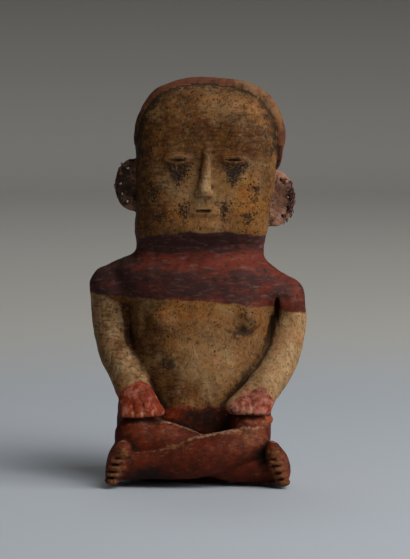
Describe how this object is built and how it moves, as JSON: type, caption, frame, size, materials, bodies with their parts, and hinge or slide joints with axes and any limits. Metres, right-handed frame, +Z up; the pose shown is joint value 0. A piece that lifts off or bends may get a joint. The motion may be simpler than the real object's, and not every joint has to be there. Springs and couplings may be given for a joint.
{
  "type": "seated female figure",
  "caption": "Seated cross-legged female figure in red, black and cream slip-painted earthenware, hands on knees, with a hair cap and pierced disc ears.",
  "frame": {"origin": "on the plane that the figure rests on, under the middle of its overall width and depth", "axes": "+Z up through the figure; the face, hands and feet look towards -Y; +X to the right of someone looking at the face"},
  "size_m": [0.1498, 0.1148, 0.2795],
  "materials": {
    "earthenware": "burnished earthenware with cream, red and black slip, worn and stained"
  },
  "bodies": {
    "root": {"seated_figure": "earthenware"}
  },
  "joints": []
}
